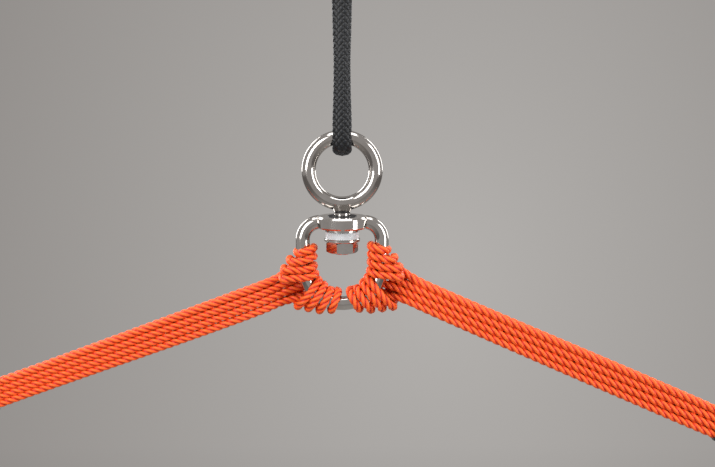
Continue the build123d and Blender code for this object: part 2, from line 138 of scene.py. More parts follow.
@dataclass(frozen=True)
class Finish:
    """A surface: a name and what makes its shader."""

    name: str

    def material(self) -> bpy.types.Material:
        """Builds the material, or returns the one already built under this name."""
        known = bpy.data.materials.get(self.name)
        if known:
            return known
        made = bpy.data.materials.new(self.name)
        made.use_nodes = True
        tree = made.node_tree
        tree.nodes.clear()
        shader = add_node(tree, "ShaderNodeBsdfPrincipled")
        add_node(tree, "ShaderNodeOutputMaterial", links={"Surface": shader.outputs["BSDF"]})
        self.dress(tree, shader)
        return made

    def dress(self, tree: bpy.types.NodeTree, shader: bpy.types.Node) -> None:
        """Adds the nodes that give the surface its look.

        Args:
            tree: The material's node tree.
            shader: Its Principled BSDF.
        """
        raise NotImplementedError


@dataclass(frozen=True)
class StainlessSteel(Finish):
    """Stainless steel bar and castings. Polishing leaves a near mirror with faint cloudy haze."""

    polish: Polish = Polish.ELECTROPOLISHED
    base: str = "#CFCBC7"
    roughness: tuple[float, float] = (0.06, 0.16)
    haze_size: float = 6.0
    mark_depth: float = 0.004

    def dress(self, tree: bpy.types.NodeTree, shader: bpy.types.Node) -> None:
        """Cloudy roughness from uneven polishing, and fine marks that soften the streaks.

        Args:
            tree: The material's node tree.
            shader: Its Principled BSDF.
        """
        place = add_node(tree, "ShaderNodeTexCoord")
        haze = add_node(
            tree, "ShaderNodeTexNoise", links={"Vector": place.outputs["Object"]},
            values={"Scale": 1 / (self.haze_size * MM), "Detail": 4.0, "Roughness": 0.6},
        )
        low, high = self.roughness
        rough = add_node(
            tree, "ShaderNodeMapRange", links={"Value": haze.outputs["Fac"]},
            values={"From Min": 0.3, "From Max": 0.7, "To Min": low, "To Max": high},
        )
        marks = add_node(
            tree, "ShaderNodeTexNoise", links={"Vector": place.outputs["Object"]},
            values={"Scale": 1 / (self.polish.value * MM), "Detail": 2.0},
        )
        bump = add_node(
            tree, "ShaderNodeBump", links={"Height": marks.outputs["Fac"]},
            values={"Strength": 0.12, "Distance": self.mark_depth * MM},
        )
        tint = set_ramp(
            add_node(tree, "ShaderNodeValToRGB", links={"Fac": haze.outputs["Fac"]}),
            [(0.3, self.base), (0.75, "#BDB8B2")],
        )
        tree.links.new(tint.outputs["Color"], shader.inputs["Base Color"])
        tree.links.new(rough.outputs["Result"], shader.inputs["Roughness"])
        tree.links.new(bump.outputs["Normal"], shader.inputs["Normal"])
        shader.inputs["Metallic"].default_value = 1.0


@dataclass(frozen=True)
class Brass(StainlessSteel):
    """Pressed brass sheet. Stamping leaves it smooth and warm, a little dull."""

    base: str = "#C9A45C"
    roughness: tuple[float, float] = (0.22, 0.36)


@dataclass(frozen=True)
class MouldedPolymer(Finish):
    """A moulded plastic or rubber. The mould gives a fine even grain and a soft highlight."""

    colour: str = "#D9DADC"
    worn: str = "#C6C7C9"
    roughness: float = 0.42
    grain: float = 0.18
    grain_depth: float = 0.02

    def dress(self, tree: bpy.types.NodeTree, shader: bpy.types.Node) -> None:
        """Mould grain as bump, and a slightly uneven colour from handling.

        Args:
            tree: The material's node tree.
            shader: Its Principled BSDF.
        """
        place = add_node(tree, "ShaderNodeTexCoord")
        grain = add_node(
            tree, "ShaderNodeTexNoise", links={"Vector": place.outputs["Object"]},
            values={"Scale": 1 / (self.grain * MM), "Detail": 2.0},
        )
        cloud = add_node(
            tree, "ShaderNodeTexNoise", links={"Vector": place.outputs["Object"]},
            values={"Scale": 1 / (5.0 * MM), "Detail": 3.0},
        )
        tint = set_ramp(
            add_node(tree, "ShaderNodeValToRGB", links={"Fac": cloud.outputs["Fac"]}),
            [(0.35, self.colour), (0.7, self.worn)],
        )
        bump = add_node(
            tree, "ShaderNodeBump", links={"Height": grain.outputs["Fac"]},
            values={"Strength": 0.3, "Distance": self.grain_depth * MM},
        )
        tree.links.new(tint.outputs["Color"], shader.inputs["Base Color"])
        tree.links.new(bump.outputs["Normal"], shader.inputs["Normal"])
        shader.inputs["Roughness"].default_value = self.roughness


@dataclass(frozen=True)
class TextileFibre(Finish):
    """Filament yarn laid or braided into cord. Its fibres lie side by side and catch the light."""

    # Dark to light: painted shade for the grooves, the cord's own colour, then a painted highlight for the
    # crowns.
    colours: tuple[str, str, str] = ("#B01203", "#FA4810", "#FF6A1C")
    yarn_width: float = 0.22
    yarn_run: float = 5.0
    yarn_depth: float = 0.05
    roughness: float = 0.55
    sheen: float = 0.25
    sheen_tint: str = "#FFB48A"
    painted_light_attribute: str = "crown"

    def dress(self, tree: bpy.types.NodeTree, shader: bpy.types.Node) -> None:
        """Darker in the grooves and lighter on the crowns as painted shade and painted highlight, with fibres
        along the cord.

        Args:
            tree: The material's node tree.
            shader: Its Principled BSDF.
        """
        place = add_node(tree, "ShaderNodeUVMap", uv_map="along")
        stretch = add_node(
            tree, "ShaderNodeMapping", links={"Vector": place.outputs["UV"]},
            values={"Scale": (1 / (self.yarn_width * MM), 1 / (self.yarn_run * MM), 1.0)},
        )
        fibres = add_node(
            tree, "ShaderNodeTexNoise", links={"Vector": stretch.outputs["Vector"]},
            values={"Scale": 1.0, "Detail": 3.0, "Roughness": 0.6},
        )
        # The crown height paints shade into the grooves and a highlight onto the crowns; the fibre noise adds
        # the yarns' own tone.
        crown = add_node(tree, "ShaderNodeAttribute", attribute_name=self.painted_light_attribute)
        mixed = add_node(
            tree, "ShaderNodeMath", operation="MULTIPLY_ADD",
            links={0: fibres.outputs["Fac"], 2: crown.outputs["Fac"]}, values={1: 0.35},
        )
        fibre_tone_and_painted_shade = add_node(
            tree, "ShaderNodeMath", operation="SUBTRACT", links={0: mixed.outputs["Value"]}, values={1: 0.17},
        )
        # The first colour is painted groove shade, the middle the cord's own colour, the last a painted crown
        # highlight.
        dark, middle, light = self.colours
        tint = set_ramp(
            add_node(tree, "ShaderNodeValToRGB", links={"Fac": fibre_tone_and_painted_shade.outputs["Value"]}),
            [(0.05, dark), (0.5, middle), (0.95, light)],
        )
        bump = add_node(
            tree, "ShaderNodeBump", links={"Height": fibres.outputs["Fac"]},
            values={"Strength": 0.5, "Distance": self.yarn_depth * MM},
        )
        tree.links.new(tint.outputs["Color"], shader.inputs["Base Color"])
        tree.links.new(bump.outputs["Normal"], shader.inputs["Normal"])
        shader.inputs["Roughness"].default_value = self.roughness
        shader.inputs["Sheen Weight"].default_value = self.sheen
        shader.inputs["Sheen Roughness"].default_value = 0.4
        shader.inputs["Sheen Tint"].default_value = linear(self.sheen_tint)


STAINLESS = StainlessSteel("polished_stainless_bar")
BEARING_STEEL = StainlessSteel("ground_bearing_steel", polish=Polish.GROUND, roughness=(0.14, 0.24))
TURNED_STEEL = StainlessSteel("turned_stainless_fastener", polish=Polish.TURNED, roughness=(0.10, 0.22))
NYLON = MouldedPolymer("moulded_white_nylon")
CAGE_BRASS = Brass("pressed_cage_brass")
RUBBER = MouldedPolymer(
    "moulded_black_rubber", colour="#17181A", worn="#232427", roughness=0.6, grain=0.25, grain_depth=0.04
)
ORANGE_CORD = TextileFibre("laid_polyester_cord")
# Near-black braid: its first colour is painted shade for the grooves, its bluish last colour a painted
# highlight on the crowns.
BLACK_BRAID = TextileFibre(
    "braided_polyester_sheath", colours=("#010102", "#050608", "#14181E"), yarn_width=0.28, yarn_run=2.5,
    roughness=0.5, sheen=0.1, sheen_tint="#8FA0B8",
)


# ---------------------------------------------------------------------------------------------
# Shapes
# ---------------------------------------------------------------------------------------------

def spline_points(route: Sequence[Point], per_point: int = 16) -> np.ndarray:
    """Points along the smooth line that a route's points pull.

    Args:
        route: The route's control points, in metres.
        per_point: How finely the line is read between them.

    Returns:
        One row per point.
    """
    curve = bpy.data.curves.new("route", "CURVE")
    curve.dimensions = "3D"
    spline = curve.splines.new("NURBS")
    spline.points.add(len(route) - 1)
    for point, place in zip(spline.points, route):
        point.co = (*place, 1.0)
    spline.order_u = 3
    spline.use_endpoint_u = True
    spline.resolution_u = per_point
    holder = bpy.data.objects.new("route", curve)
    line = bpy.data.meshes.new_from_object(holder)
    points = np.array([vertex.co for vertex in line.vertices], float)
    bpy.data.objects.remove(holder)
    bpy.data.curves.remove(curve)
    bpy.data.meshes.remove(line)
    return points


def evenly(points: np.ndarray, step: float) -> np.ndarray:
    """The same line with its points a fixed step apart.

    Args:
        points: The line.
        step: Distance along it from point to point, in metres.

    Returns:
        One row per point.
    """
    runs = np.linalg.norm(np.diff(points, axis=0), axis=1)
    keep = np.concatenate([[True], runs > 1e-9])
    points = points[keep]
    travel = np.concatenate([[0.0], np.cumsum(np.linalg.norm(np.diff(points, axis=0), axis=1))])
    wanted = np.linspace(0.0, travel[-1], max(2, round(travel[-1] / step) + 1))
    return np.stack([np.interp(wanted, travel, points[:, k]) for k in range(3)], axis=1)


def line_length(points: np.ndarray) -> float:
    """Length of a line of points."""
    return float(np.linalg.norm(np.diff(points, axis=0), axis=1).sum())


def carried_frames(points: np.ndarray, first: Sequence[float]) -> tuple[np.ndarray, np.ndarray]:
    """Directions across a line, carried along it without twist.

    Args:
        points: The line.
        first: About where the first direction points.

    Returns:
        Two directions across the line, one row per point.
    """
    ahead = np.gradient(points, axis=0)
    ahead /= np.linalg.norm(ahead, axis=1)[:, None]
    across = np.empty_like(points)
    current = np.array(first, float)
    for index, direction in enumerate(ahead):
        current = current - current.dot(direction) * direction
        current /= np.linalg.norm(current)
        across[index] = current
    return across, np.cross(ahead, across)


def skin(
    name: str,
    rings: np.ndarray,
    finish: Finish,
    crown: np.ndarray | None = None,
    across_size: float = 1.0,
    along_step: float = 1.0,
) -> bpy.types.Object:
    """A smooth mesh through rings of points.

    Args:
        name: The piece's name.
        rings: Ring by ring, point by point, in metres.
        finish: Its surface.
        crown: How high each point stands in its lay or braid, from 0 to 1; the cord materials paint shade and
            highlight from it.
        across_size: Distance round a ring, for the fibre pattern, in metres.
        along_step: Distance between rings, for the fibre pattern, in metres.

    Returns:
        The new object.
    """
    count, sides, _ = rings.shape
    last = count - 1
    a = (np.arange(last)[:, None] * sides + np.arange(sides)[None, :])
    b = (np.arange(last)[:, None] * sides + (np.arange(sides)[None, :] + 1) % sides)
    quads = np.stack([a, b, b + sides, a + sides], axis=-1).reshape(-1, 4)
    mesh = bpy.data.meshes.new(name)
    faces = quads.tolist()
    faces.append(list(range(sides))[::-1])
    faces.append([last * sides + k for k in range(sides)])
    mesh.from_pydata(rings.reshape(-1, 3).tolist(), [], faces)
    layer = mesh.uv_layers.new(name="along")
    u = np.arange(sides + 1) / sides * across_size
    v = np.arange(last + 1) * along_step
    grid = (last, sides)
    corners = np.stack([
        np.stack([np.broadcast_to(us, grid), np.broadcast_to(vs[:, None], grid)], -1)
        for us, vs in ((u[:-1], v[:-1]), (u[1:], v[:-1]), (u[1:], v[1:]), (u[:-1], v[1:]))
    ], axis=2).reshape(-1)
    values = np.zeros(2 * len(mesh.loops))
    values[:corners.size] = corners
    layer.data.foreach_set("uv", values)
    # Kept on the mesh so that the cord materials paint shade low in the grooves and a highlight on the crowns.
    if crown is not None:
        height = mesh.attributes.new("crown", "FLOAT", "POINT")
        height.data.foreach_set("value", crown.reshape(-1).astype(np.float32))
    mesh.polygons.foreach_set("use_smooth", [True] * len(mesh.polygons))
    mesh.update()
    mesh.validate()
    piece = bpy.data.objects.new(name, mesh)
    bpy.context.scene.collection.objects.link(piece)
    mesh.materials.append(finish.material())
    return piece


def dress_node(node: str, finish: Finish) -> None:
    """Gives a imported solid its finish, on its own material slots.

    Args:
        node: The node's name.
        finish: Its surface.
    """
    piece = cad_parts[node]
    if not piece.material_slots:
        piece.data.materials.append(finish.material())
    for place in piece.material_slots:
        place.material = finish.material()
    LOG.info("%s: %s", node, finish.name)


# ---------------------------------------------------------------------------------------------
# Slings
# ---------------------------------------------------------------------------------------------

class Side(Enum):
    """Which side of the bow a sling pulls to, as the sign of its X."""

    LEFT = -1
    RIGHT = 1


class Half(Enum):
    """Which half of a hitch a strand belongs to."""

    UPPER = 1
    LOWER = -1


# Where each leg that goes round the end bar lies, in cord pitches: across at the bar, across just
# before it, and how far it stands from the bundle's middle there.
END_SEATS: dict[tuple[int, Half], tuple[float, float, float]] = {
    (0, Half.UPPER): (1.04, 1.05, 0.68), (2, Half.UPPER): (0.0, 0.25, 1.5),
    (1, Half.UPPER): (-1.04, -0.85, 0.75), (2, Half.LOWER): (1.04, 0.85, 1.45),
    (1, Half.LOWER): (0.0, -0.3, 0.6), (3, Half.LOWER): (-1.04, -1.05, 1.5),
}


@dataclass
class SlingRoute:
    """The path of one sling's cord: loops hitched on the bow and joined round the end bar.

    Sizes are in metres. The route is worked out as on the left and mirrored for the right. The fan
    says how far each loop's turn stands out from, and nearer the middle than, the last loop's.
    """

    side: Side
    hitch_angle: float
    fall: float
    reach: float
    bow_half_width: float
    bow_arc_z: float
    cord: float = 0.0036
    gap: float = 0.00062
    seat: float = 0.00015
    bow_bar: float = 2 * BOW_BAR_RADIUS
    end_bar: float = 0.006
    keeper: float = 0.014
    keeper_to_bar: float = 0.024
    loops: int = 4
    fan: dict[Half, list[tuple[float, float]]] = field(default_factory=lambda: {
        Half.UPPER: [(0.0102, 0.0118), (0.0077, 0.0077), (0.0028, 0.0038), (-0.0027, 0.0011)],
        Half.LOWER: [(0.0184, 0.0106), (0.0131, 0.0074), (0.0074, 0.0041), (0.0010, 0.0020)],
    })
    lean: dict[Half, float] = field(default_factory=lambda: {Half.UPPER: 0.0026, Half.LOWER: 0.0006})
    fullness: float = 0.0003
    row_spread: tuple[float, float] = (1.0, 1.0)
    turn_off_bar: float = 0.0001
    crossing_gap: float = 0.001
    arc_end: float = 0.001
    inner_spacing: float = 1.05
    straight_spacing: float = 1.1
    pass_spacing: float = 1.16
    middle_spread: dict[Half, float] = field(default_factory=lambda: {Half.UPPER: 1.1, Half.LOWER: 1.3})
    behind_bow: float = 0.0005
    leave_hitch: float = 0.014
    spread_from: float = 0.034
    spread_before_keeper: float = 0.012
    past_keeper: float = 0.001
    bend_to_bar: float = 0.009
    before_bar: float = 0.005
    in_keeper: float = 0.004

    def __post_init__(self) -> None:
        """Works out the spacings that the hitch keeps."""
        self.pitch = self.cord + self.gap
        self.wrap = self.bow_bar / 2 + self.seat + self.cord / 2 + self.fullness
        self.deep = self.wrap + self.pitch
        self.crossing = self.deep + self.pitch + self.crossing_gap
        narrowing = self.bow_half_width / (self.bow_half_width - self.wrap)
        self.inner_step = self.inner_spacing * self.pitch * narrowing

    def directions(self) -> tuple[tuple[float, float], tuple[float, float], tuple[float, float]]:
        """Origin, outward and upward directions of the hitch, in X and Z."""
        angle, fall = math.radians(self.hitch_angle), math.radians(self.fall)
        origin = (
            self.bow_half_width * math.cos(angle), self.bow_arc_z + self.bow_half_width * math.sin(angle)
        )
        return origin, (-math.cos(fall), -math.sin(fall)), (-math.sin(fall), math.cos(fall))

    def on_bow(self, along: float, out: float) -> tuple[float, float]:
        """A point beside the bow's bar, in X and Z."""
        above_arc = along - math.radians(self.hitch_angle - 180) * self.bow_half_width
        if above_arc > 0:
            return -self.bow_half_width - out, self.bow_arc_z + above_arc
        angle = math.radians(self.hitch_angle) - along / self.bow_half_width
        radius = self.bow_half_width + out
        return radius * math.cos(angle), self.bow_arc_z + radius * math.sin(angle)

    def beside(self, out: float, up: float, front: float) -> Point:
        """A point of the bundle's own frame, as X, Y and Z on the left."""
        (x, z), direction, across = self.directions()
        return x + out * direction[0] + up * across[0], -front, z + out * direction[1] + up * across[1]

    def in_bundle(self, x: float, z: float) -> tuple[float, float]:
        """Outward and upward distance of a point from the hitch's middle."""
        (from_x, from_z), direction, across = self.directions()
        x, z = x - from_x, z - from_z
        return x * direction[0] + z * direction[1], x * across[0] + z * across[1]

    def wrap_place(self, loop: int, half: Half) -> float:
        """How far along the bow a loop's turn lies."""
        arc = math.radians(self.hitch_angle - 180) * self.bow_half_width
        place = self.inner_step / 2
        for _ in range(loop):
            close = half is Half.LOWER or place < arc - self.arc_end
            place += self.inner_step if close else self.straight_spacing * self.pitch
        return half.value * place

    def turn_place(self, loop: int, half: Half) -> tuple[float, float]:
        """Where a loop turns from front to back outside the bow, in the bundle's frame."""
        last = self.wrap_place(self.loops - 1, half) - half.value * self.lean[half]
        out, up = self.in_bundle(*self.on_bow(last, self.wrap + self.turn_off_bar))
        further, nearer = self.fan[half][loop]
        return out + further, up - half.value * nearer

    def row(self, loop: int, half: Half) -> float:
        """How far above the bundle's middle a leg runs."""
        return half.value * (0.5 if loop < 2 else 1.5) * self.pitch

    def column(self, loop: int) -> float:
        """How far in front of the bundle's middle a leg runs."""
        return self.pitch / 2 if loop % 2 == 0 else -self.pitch / 2

    def hitch_half(self, loop: int, half: Half) -> list[Point]:
        """From the bundle in to the bow, round its inner side, out in front and round to the back."""
        row = self.row(loop, half)
        behind = self.wrap if loop % 2 == 0 else self.deep
        x, z = self.on_bow(self.wrap_place(loop, half), -self.wrap)
        inner_up = self.in_bundle(x, z)[1]
        turn_out, turn_up = self.turn_place(loop, half)
        middle_up = self.middle_spread[half] * inner_up if loop % 2 == 0 else (inner_up + row) / 2
        points = [
            self.beside(self.reach - self.spread_before_keeper, row * self.row_spread[1], self.column(loop)),
            self.beside(self.spread_from, row * self.row_spread[0], self.column(loop)),
            self.beside(self.leave_hitch, row, -behind),
            self.beside(self.behind_bow, middle_up, -behind),
            (x, behind, z),
            (x, -self.wrap, z),
        ]
        if half is Half.UPPER:
            for beyond in range(self.loops - 1, loop, -1):
                pass_out, pass_up = self.turn_place(beyond, half)
                below = (beyond - loop) * self.pass_spacing * self.pitch
                points.append(self.beside(pass_out, pass_up - below, self.wrap))
        points.append(self.beside(turn_out, turn_up, self.wrap))
        points.append(self.beside(turn_out, turn_up, -self.crossing))
        return points

    def end_leg(self, loop: int, half: Half) -> list[Point]:
        """From the bundle out to the end bar: up to the last corner before the turn round it."""
        start = self.reach + self.keeper
        bar = start + self.keeper_to_bar
        radius = self.end_bar / 2 + self.seat + self.cord / 2
        at_bar, before, rise = (value * self.pitch for value in END_SEATS[(loop, half)])
        return [
            self.beside(start + self.past_keeper, self.row(loop, half), self.column(loop)),
            self.beside(start + self.bend_to_bar, half.value * rise, before),
            self.beside(bar - self.before_bar, half.value * radius, at_bar),
            self.beside(bar + radius, half.value * radius, at_bar),
        ]

    def points(self) -> list[Point]:
        """The whole route, on its own side."""
        order = [
            (0, Half.LOWER), (0, Half.UPPER), (2, Half.LOWER), (2, Half.UPPER),
            (1, Half.LOWER), (1, Half.UPPER), (3, Half.LOWER), (3, Half.UPPER),
        ]
        inside = self.reach + self.in_keeper
        points = [self.beside(inside, -0.5 * self.pitch, self.pitch / 2)]
        for first, second in zip(order[::2], order[1::2]):
            if first != order[0]:
                points += self.end_leg(*first)[::-1]
            points += self.hitch_half(*first)
            points += self.hitch_half(*second)[::-1]
            if second != order[-1]:
                points += self.end_leg(*second)
        points.append(self.beside(inside, 1.5 * self.pitch, -self.pitch / 2))
        return [self.placed(point) for point in points]

    def placed(self, point: Point) -> Point:
        """A point worked out on the left, put on its own side."""
        x, y, z = point
        return (x, y, z) if self.side is Side.LEFT else (-x, y, z)


@dataclass
class LaidCord:
    """Three strands laid right-handed. Each shows as a ridge that winds round the cord."""

    diameter: float = 0.0046
    lay: float = 0.0128
    strands: int = 3
    per_strand: int = 6
    step: float = 0.0008
    strand_centre: float = 0.225
    strand_radius: float = 0.275

    def section(self) -> tuple[np.ndarray, np.ndarray]:
        """Radius round the section and how near each point is to a strand's crown."""
        sides = self.strands * self.per_strand
        angle = np.arange(sides) / sides * 2 * math.pi
        off = np.abs((angle * self.strands / (2 * math.pi) + 0.5) % 1 - 0.5) / self.strands * 2 * math.pi
        centre, strand = self.strand_centre * self.diameter, self.strand_radius * self.diameter
        inner = np.maximum(strand ** 2 - (centre * np.sin(off)) ** 2, 0.0)
        radius = centre * np.cos(off) + np.sqrt(inner)
        low, high = radius.min(), radius.max()
        return radius, (radius - low) / (high - low)

    def build(self, name: str, line: np.ndarray, finish: Finish) -> bpy.types.Object:
        """The cord along a line.

        Args:
            name: The piece's name.
            line: The line's points, an even step apart.
            finish: Its surface.

        Returns:
            The cord.
        """
        radius, crown = self.section()
        sides = len(radius)
        across, beside = carried_frames(line, (0.0, 1.0, 0.0))
        travel = np.arange(len(line)) * line_length(line) / (len(line) - 1)
        angle = np.arange(sides)[None, :] / sides * 2 * math.pi + travel[:, None] / self.lay * 2 * math.pi
        rings = line[:, None, :] + radius[None, :, None] * (
            np.cos(angle)[:, :, None] * across[:, None, :] + np.sin(angle)[:, :, None] * beside[:, None, :]
        )
        return skin(
            name, rings, finish, crown=np.broadcast_to(crown, (len(line), sides)),
            across_size=math.pi * self.diameter, along_step=self.step,
        )


@dataclass
class CordSling:
    """One bundle of cord, its keeper sleeve and its end ring."""

    route: SlingRoute
    name: str
    real_length: float
    cord: LaidCord = field(default_factory=LaidCord)

    def build(self) -> None:
        """Lays the cord and dresses the pieces that it carries."""
        points = self.route.points()
        line = evenly(spline_points(points), self.cord.step)
        piece = self.cord.build(f"{self.name}_laid_cord", line, ORANGE_CORD)
        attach(piece, "bow")
        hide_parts(f"{self.name}_sling")
        LOG.info("%s: %.3f m of cord, %d points", piece.name, line_length(line), len(line))
        dress_node(f"{self.name}_keeper", RUBBER)
        dress_node(f"{self.name}_end_ring", STAINLESS)


# ---------------------------------------------------------------------------------------------
# Hanging rope
# ---------------------------------------------------------------------------------------------

@dataclass
class BraidedRope:
    """A flattened braided sheath: two sets of strands that cross over and under each other."""

    width: float = 0.0106
    depth: float = 0.0064
    carriers: int = 8
    lay: float = 0.0288
    relief: float = 0.00045
    step: float = 0.0003
    sides: int = 96
    outline_points: int = 721
    smoothed_over: float = 0.008
    crown_across: float = 0.7
    crown_along: float = 0.45
    crown_middle: float = 0.6
    pressed: Sequence[tuple[float, float]] = (
        (0.000, 0.0108), (0.028, 0.0106), (0.046, 0.0095), (0.062, 0.0092), (0.080, 0.0103), (0.094, 0.0110),
    )

    def build(self, name: str, line: np.ndarray, ring_z: float, finish: Finish) -> bpy.types.Object:
        """The rope along a line in the plane across the ring.

        Args:
            name: The piece's name.
            line: The line's points, an even step apart.
            ring_z: Height of the ring's centre, from which the pressed widths count.
            finish: Its surface.

        Returns:
            The rope.
        """
        count = len(line)
        travel = np.arange(count) * line_length(line) / (count - 1)
        heights, widths = zip(*self.pressed)
        width = np.interp(line[:, 2] - ring_z, heights, widths)
        window = round(self.smoothed_over / self.step)
        padded = np.pad(width, window // 2, mode="edge")
        width = np.convolve(padded, np.ones(window) / window, "same")[window // 2:window // 2 + count]
        depth = self.depth * (self.width / width) ** 0.5
        fine = np.linspace(0, 2 * math.pi, self.outline_points)
        outline = np.stack([np.cos(fine) * self.width / 2, np.sin(fine) * self.depth / 2], -1)
        round_it = np.concatenate([[0.0], np.cumsum(np.linalg.norm(np.diff(outline, axis=0), axis=1))])
        share = np.arange(self.sides) / self.sides
        angle = np.interp(share * round_it[-1], round_it, fine)
        right = self.carriers * (share[None, :] + travel[:, None] / self.lay)
        left = self.carriers * (share[None, :] - travel[:, None] / self.lay)
        over = (np.floor(right) + np.floor(left)) % 2 < 1
        across = np.where(over, left % 1, right % 1)
        along = np.where(over, right % 1, left % 1)
        crown = np.sin(math.pi * across) ** self.crown_across * np.sin(math.pi * along) ** self.crown_along
        lift = self.relief * (crown - self.crown_middle)
        ahead = np.gradient(line, axis=0)
        ahead /= np.linalg.norm(ahead, axis=1)[:, None]
        sideways = np.broadcast_to(np.array([1.0, 0.0, 0.0]), line.shape)
        outward = np.cross(ahead, sideways)
        a, b = width[:, None] / 2, depth[:, None] / 2
        x, y = a * np.cos(angle)[None, :], b * np.sin(angle)[None, :]
        nx, ny = np.cos(angle)[None, :] / a, np.sin(angle)[None, :] / b
        size = np.hypot(nx, ny)
        x, y = x + lift * nx / size, y + lift * ny / size
        rings = line[:, None, :] + x[:, :, None] * sideways[:, None, :] + y[:, :, None] * outward[:, None, :]
        return skin(
            name, rings, finish, crown=crown, across_size=round_it[-1], along_step=self.step,
        )


@dataclass
class HangingRope:
    """The doubled black rope that carries the ring, with its thimble and sleeve.

    Sizes are in metres. Heights count from the thimble's centre.
    """

    ring_z: float
    eye_radius: float = 0.01335
    bight_radius: float = 0.0075
    bight_above_ring: float = 0.019
    strand_y: float = 0.0035
    sleeve_top: float = -0.02735
    sleeve_bottom: float = -0.04435
    foot: float = 0.00704
    eye_foot: float = -0.004
    ends_gap: float = 0.0005
    real_length: float = 0.332
    braid: BraidedRope = field(default_factory=BraidedRope)

    def points(self) -> list[Point]:
        """The route: from inside the sleeve round the thimble, down behind and up in front."""
        eye, bight, join = self.eye_radius, self.bight_radius, (self.sleeve_top + self.sleeve_bottom) / 2
        slant = math.tan(math.pi / 8)
        tube = self.ring_z + self.bight_above_ring
        side = [
            (-self.strand_y, join + self.ends_gap), (-self.strand_y, self.sleeve_top + self.foot),
            (-eye, self.eye_foot), (-eye, eye * slant), (-eye * slant, eye),
            (eye * slant, eye), (eye, eye * slant), (eye, self.eye_foot),
            (self.strand_y, self.sleeve_top + self.foot), (self.strand_y, self.sleeve_bottom - self.foot),
            (bight, tube + 3 * bight), (bight, tube - bight * slant), (bight * slant, tube - bight),
            (-bight * slant, tube - bight), (-bight, tube - bight * slant), (-bight, tube + 3 * bight),
            (-self.strand_y, self.sleeve_bottom - self.foot), (-self.strand_y, join),
        ]
        return [(0.0, y, z) for y, z in side]

    def build(self) -> None:
        """Braids the rope and dresses its metalwork."""
        points = self.points()
        line = evenly(spline_points(points, 32), self.braid.step)
        piece = self.braid.build("hanging_rope_braid", line, self.ring_z, BLACK_BRAID)
        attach(piece, "hanging_rope")
        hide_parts("black_rope")
        LOG.info("%s: %.3f m of rope", piece.name, line_length(line))
        dress_node("rope_sleeve", TURNED_STEEL)
        dress_node("rope_thimble", STAINLESS)


# ---------------------------------------------------------------------------------------------
# Swivel
# ---------------------------------------------------------------------------------------------

@dataclass
class Swivel:
    """The ring eye, the bow and the thrust bearing between them."""

    finishes: dict[str, Finish] = field(default_factory=lambda: {
        "ring_eye": STAINLESS, "swivel_bow": STAINLESS, "upper_race": BEARING_STEEL,
        "lower_race": BEARING_STEEL, "bearing_rollers": BEARING_STEEL, "roller_cage": CAGE_BRASS,
        "bearing_shroud": NYLON, "liner_bush": NYLON, "dust_seal": RUBBER, "flat_washer": TURNED_STEEL,
        "hex_nut": TURNED_STEEL,
    })

    def build(self) -> None:
        """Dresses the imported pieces."""
        for node, finish in self.finishes.items():
            dress_node(node, finish)


# ---------------------------------------------------------------------------------------------
# Studio
# ---------------------------------------------------------------------------------------------

@dataclass(frozen=True)
class Softbox:
    """A plain white area lamp."""

    name: str
    azimuth: float
    elevation: float
    distance: float
    size: tuple[float, float]
    power: float

    def build(self, target: Vector) -> None:
        """Puts the lamp round the target, facing it.

        Args:
            target: What it lights.
        """
        turn, rise = math.radians(self.azimuth), math.radians(self.elevation)
        away = Vector((math.sin(turn) * math.cos(rise), -math.cos(turn) * math.cos(rise), math.sin(rise)))
        lamp = bpy.data.lights.new(self.name, "AREA")
        lamp.shape = "RECTANGLE"
        lamp.size, lamp.size_y = self.size
        lamp.energy = self.power
        holder = bpy.data.objects.new(self.name, lamp)
        holder.location = target + away * self.distance
        holder.rotation_euler = (-away).to_track_quat("-Z", "Y").to_euler()
        bpy.context.scene.collection.objects.link(holder)


